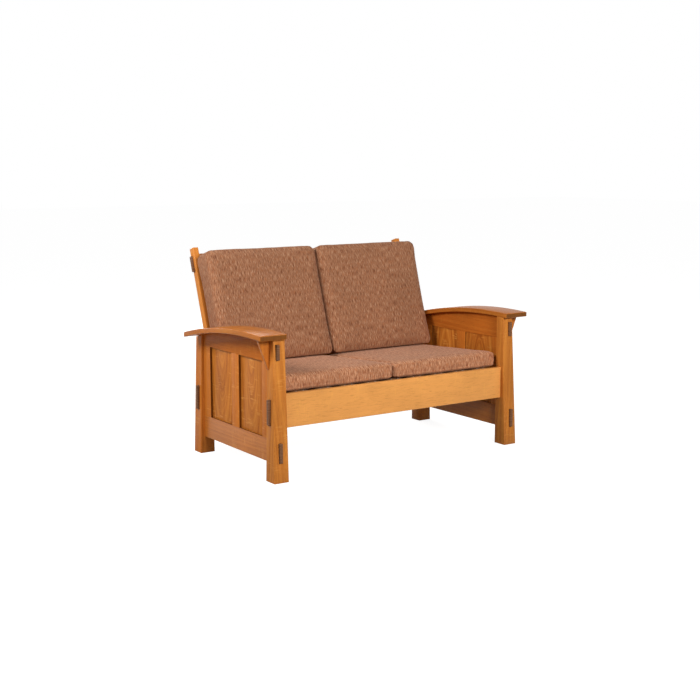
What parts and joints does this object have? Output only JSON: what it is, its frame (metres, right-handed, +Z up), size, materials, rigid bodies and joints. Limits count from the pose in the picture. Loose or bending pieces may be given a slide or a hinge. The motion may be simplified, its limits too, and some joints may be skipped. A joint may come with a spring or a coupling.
{
  "type": "mission settle",
  "caption": "Two-seat wooden settle with bowed flat arms, panelled sides, through tenons with dark caps, a leaning back, and loose seat and back cushions.",
  "frame": {"origin": "on the floor, under the middle of the whole piece's bounding box", "axes": "+X along the seat to the right of someone facing the settle, +Y from front to back, +Z up"},
  "size_m": [1.534, 0.9355, 0.9855],
  "materials": {
    "honey_oak": "quarter-sawn oak in a honey stain under a satin lacquer",
    "panel_oak": "the same oak as the frame, on flat panels",
    "dark_end_grain": "dark stained end grain under a satin lacquer",
    "plain_inner_wood": "plain unstained inner wood",
    "steel_screws": "dull zinc",
    "cushion_fabric": "rust-brown chenille with a short streaky pile"
  },
  "bodies": {
    "frame": {"arm_left": "honey_oak", "arm_right": "honey_oak", "back_screws": "steel_screws", "back_slat_1": "honey_oak", "back_slat_2": "honey_oak", "back_slat_3": "honey_oak", "back_slat_4": "honey_oak", "back_slat_5": "honey_oak", "back_slat_6": "honey_oak", "back_slat_7": "honey_oak", "back_upright_left": "honey_oak", "back_upright_right": "honey_oak", "centre_stretcher": "plain_inner_wood", "corbel_left": "honey_oak", "corbel_right": "honey_oak", "corner_blocks": "plain_inner_wood", "crest_rail": "honey_oak", "crest_tenon_caps": "dark_end_grain", "deck_cleat_front": "plain_inner_wood", "deck_cleat_rear": "plain_inner_wood", "deck_slat_1": "plain_inner_wood", "deck_slat_2": "plain_inner_wood", "deck_slat_3": "plain_inner_wood", "deck_slat_4": "plain_inner_wood", "deck_slat_5": "plain_inner_wood", "deck_slat_6": "plain_inner_wood", "deck_slat_7": "plain_inner_wood", "deck_slat_8": "plain_inner_wood", "deck_slat_9": "plain_inner_wood", "front_post_left": "honey_oak", "front_post_right": "honey_oak", "front_seat_rail": "honey_oak", "front_seat_tenon_caps": "dark_end_grain", "lower_back_rail": "honey_oak", "lower_side_tenon_caps": "dark_end_grain", "rear_post_left": "honey_oak", "rear_post_right": "honey_oak", "rear_seat_rail": "honey_oak", "rear_seat_tenon_caps": "dark_end_grain", "side_bottom_rail_left": "honey_oak", "side_bottom_rail_right": "honey_oak", "side_panel_front_left": "panel_oak", "side_panel_front_right": "panel_oak", "side_panel_rear_left": "panel_oak", "side_panel_rear_right": "panel_oak", "side_stile_front_left": "honey_oak", "side_stile_front_right": "honey_oak", "side_stile_middle_left": "honey_oak", "side_stile_middle_right": "honey_oak", "side_stile_rear_left": "honey_oak", "side_stile_rear_right": "honey_oak", "side_top_rail_left": "honey_oak", "side_top_rail_right": "honey_oak", "upper_side_tenon_caps": "dark_end_grain"},
    "back_cushion_left": {"back_cushion_left": "cushion_fabric"},
    "back_cushion_right": {"back_cushion_right": "cushion_fabric"},
    "seat_cushion_left": {"seat_cushion_left": "cushion_fabric"},
    "seat_cushion_right": {"seat_cushion_right": "cushion_fabric"}
  },
  "joints": [
    {"name": "seat_cushion_left_lift_out", "type": "slide", "parent": "frame", "child": "seat_cushion_left", "axis": [0, -0.9981, 0.0611], "range_m": [0, 0.65]},
    {"name": "back_cushion_left_lift_out", "type": "slide", "parent": "frame", "child": "back_cushion_left", "axis": [0, 0.3245, 0.9459], "range_m": [0, 0.6]},
    {"name": "seat_cushion_right_lift_out", "type": "slide", "parent": "frame", "child": "seat_cushion_right", "axis": [0, -0.9981, 0.0611], "range_m": [0, 0.65]},
    {"name": "back_cushion_right_lift_out", "type": "slide", "parent": "frame", "child": "back_cushion_right", "axis": [0, 0.3245, 0.9459], "range_m": [0, 0.6]}
  ]
}
